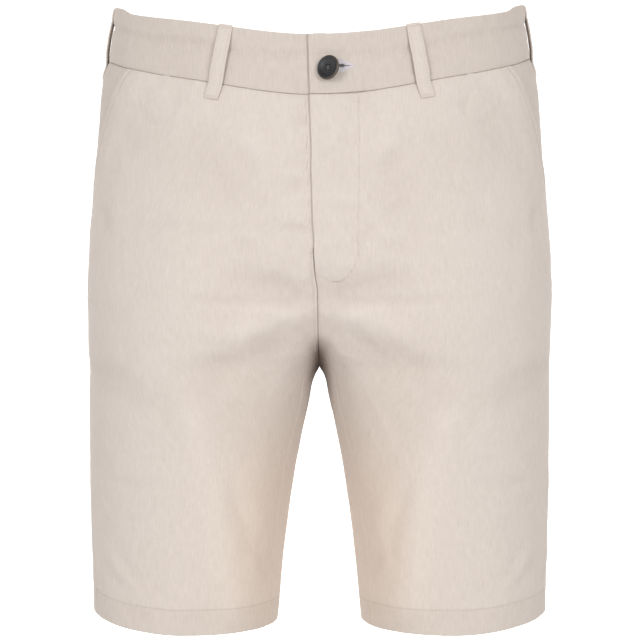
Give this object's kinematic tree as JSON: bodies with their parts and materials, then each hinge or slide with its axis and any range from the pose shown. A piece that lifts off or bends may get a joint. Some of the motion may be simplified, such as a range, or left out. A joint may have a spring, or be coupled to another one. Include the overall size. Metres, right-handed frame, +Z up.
{
  "type": "bermuda shorts",
  "caption": "Straight knee-length linen bermuda shorts with a dipped waistband, fly, button, belt loops and slant pockets, filled out as when worn.",
  "frame": {"origin": "centre of the waist, level with the side ends of the waist seam", "axes": "+X to the wearer's left, -Y to the front, +Z up"},
  "size_m": [0.3686, 0.2512, 0.4885],
  "materials": {
    "linen": "plain-woven, slubby, matt",
    "button_plastic": "satin"
  },
  "bodies": {
    "root": {"front_left": "linen", "front_right": "linen", "back_left": "linen", "back_right": "linen", "waistband_left": "linen", "waistband_right": "linen", "pocket_facing_left": "linen", "pocket_facing_right": "linen", "belt_loop_front_left": "linen", "belt_loop_front_right": "linen", "belt_loop_side_left": "linen", "belt_loop_side_right": "linen", "belt_loop_back": "linen", "button": "button_plastic"}
  },
  "joints": []
}
